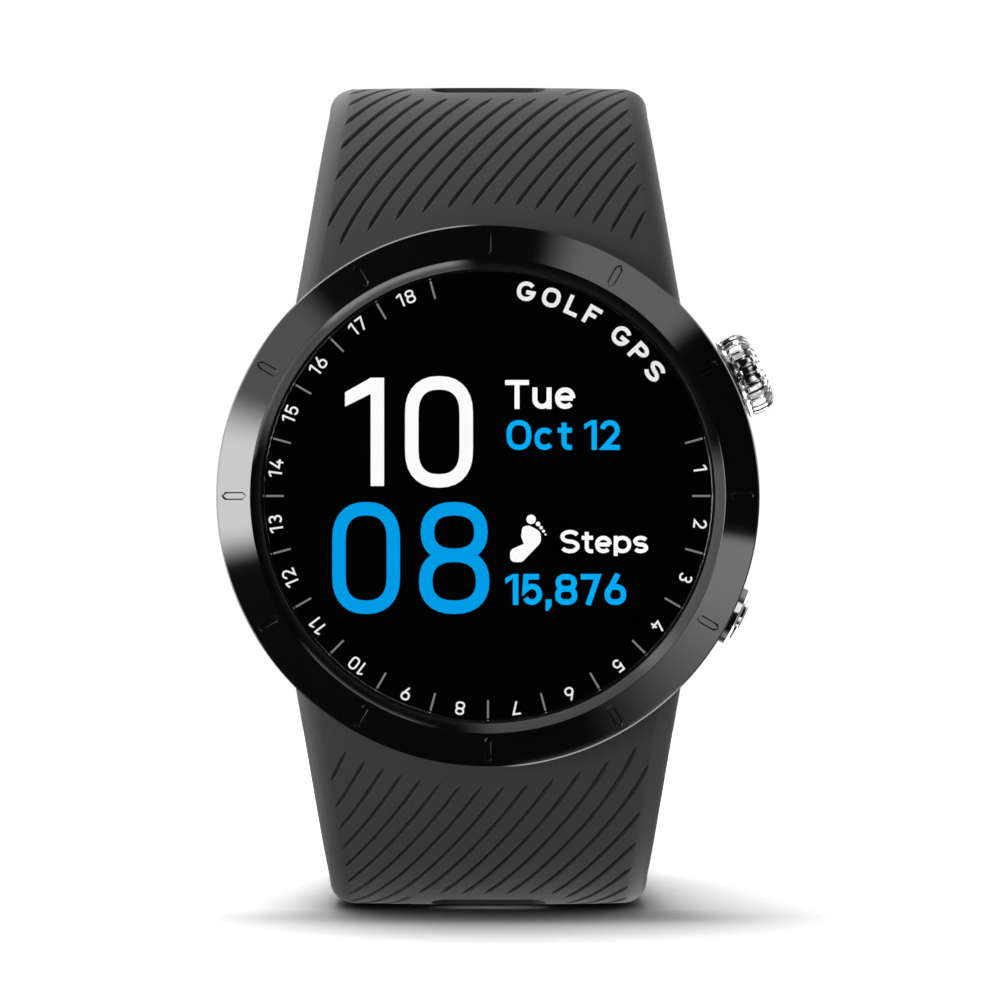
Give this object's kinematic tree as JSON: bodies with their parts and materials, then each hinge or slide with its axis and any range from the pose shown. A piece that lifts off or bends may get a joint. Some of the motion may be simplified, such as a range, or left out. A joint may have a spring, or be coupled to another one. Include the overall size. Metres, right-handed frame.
{
  "type": "golf gps watch",
  "caption": "Round sports watch with a polished black bezel ring, round display, fluted crown, side push button and grooved rubber strap with a buckle.",
  "frame": {"origin": "middle of the flat outer face of the case back, the face that touches the wrist", "axes": "+X towards three o'clock and the crown side, +Y out of the case back towards the wrist, +Z towards twelve o'clock"},
  "size_m": [0.0485, 0.0852, 0.074],
  "materials": {
    "black_gloss": "polished black ceramic",
    "case_black": "fine satin, glass-filled",
    "buckle_black": "satin black",
    "polished_steel": "mirror polished stainless steel",
    "bar_steel": "turned steel",
    "back_black": "satin",
    "strap_rubber": "matte moulded",
    "seal_rubber": "plain",
    "cover_glass": "polished",
    "display_black": "black panel",
    "inner_plastic": "moulded",
    "board_green": "solder mask",
    "cell_foil": "dull foil",
    "contact_gold": "gold plated"
  },
  "bodies": {
    "case": {"mid_case": "case_black", "bezel": "black_gloss", "bezel_seal": "seal_rubber", "display_glass": "cover_glass", "glass_seal": "seal_rubber", "display_panel": "display_black", "display_frame": "inner_plastic", "display_flex": "board_green", "main_board": "board_green", "processor_shield": "cell_foil", "gps_antenna": "inner_plastic", "battery": "cell_foil", "vibration_motor": "bar_steel", "case_back": "back_black", "case_back_seal": "seal_rubber", "case_back_screw_1": "bar_steel", "case_back_screw_2": "bar_steel", "case_back_screw_3": "bar_steel", "case_back_screw_4": "bar_steel", "charge_contact_1": "contact_gold", "charge_contact_2": "contact_gold", "charge_contact_3": "contact_gold", "charge_contact_4": "contact_gold", "crown_tube": "polished_steel", "crown_spring": "bar_steel", "crown_switch": "inner_plastic", "button_tube": "polished_steel", "button_switch": "inner_plastic"},
    "crown_press": {"crown_stem": "polished_steel", "crown_clip": "polished_steel", "crown_seal": "seal_rubber"},
    "crown_turn": {"crown": "polished_steel"},
    "button_press": {"button": "polished_steel", "button_clip": "polished_steel", "button_seal": "seal_rubber"},
    "upper_strap": {"strap_buckle_side": "strap_rubber", "spring_bar_upper": "bar_steel", "fixed_keeper": "strap_rubber", "buckle_pin": "bar_steel"},
    "upper_release": {"release_lever_upper": "bar_steel"},
    "sliding_keeper": {"free_keeper": "strap_rubber"},
    "buckle": {"buckle_frame": "buckle_black"},
    "tongue": {"buckle_tongue": "buckle_black"},
    "lower_strap": {"strap_hole_side": "strap_rubber", "spring_bar_lower": "bar_steel"},
    "lower_release": {"release_lever_lower": "bar_steel"}
  },
  "joints": [
    {"name": "crown_push", "type": "slide", "parent": "case", "child": "crown_press", "axis": [-0.9041, 0, -0.4274], "range_m": [0, 0.0006], "stiffness_N_per_m": 2500, "springref_m": -0.0006, "deforming": ["crown_spring"]},
    {"name": "crown_rotate", "type": "hinge", "parent": "crown_press", "child": "crown_turn", "pos_m": [0, -0.006, 0], "axis": [0.9041, 0, 0.4274], "continuous": true},
    {"name": "button_push", "type": "slide", "parent": "case", "child": "button_press", "axis": [-0.8988, 0, 0.4384], "range_m": [0, 0.0005], "stiffness_N_per_m": 3000, "springref_m": -0.0005},
    {"name": "upper_strap_swing", "type": "hinge", "parent": "case", "child": "upper_strap", "pos_m": [0, -0.0036, 0.0248], "axis": [1, 0, 0], "range_deg": [-1.5, 7]},
    {"name": "lower_strap_swing", "type": "hinge", "parent": "case", "child": "lower_strap", "pos_m": [0, -0.0036, -0.0248], "axis": [-1, 0, 0], "range_deg": [-1.5, 7]},
    {"name": "upper_bar_release", "type": "slide", "parent": "upper_strap", "child": "upper_release", "axis": [-1, 0, 0], "range_m": [0, 0.0016], "stiffness_N_per_m": 1200, "springref_m": -0.0008},
    {"name": "lower_bar_release", "type": "slide", "parent": "lower_strap", "child": "lower_release", "axis": [1, 0, 0], "range_m": [0, 0.0016], "stiffness_N_per_m": 1200, "springref_m": -0.0008},
    {"name": "keeper_slide", "type": "slide", "parent": "upper_strap", "child": "sliding_keeper", "axis": [0, 0, 1], "range_m": [-0.0022, 0.0012]},
    {"name": "buckle_swing", "type": "hinge", "parent": "upper_strap", "child": "buckle", "pos_m": [0, 0.0346, -0.0053], "axis": [1, 0, 0], "range_deg": [-60, 0]},
    {"name": "tongue_swing", "type": "hinge", "parent": "upper_strap", "child": "tongue", "pos_m": [0, 0.0346, -0.0053], "axis": [1, 0, 0], "range_deg": [0, 110]}
  ]
}
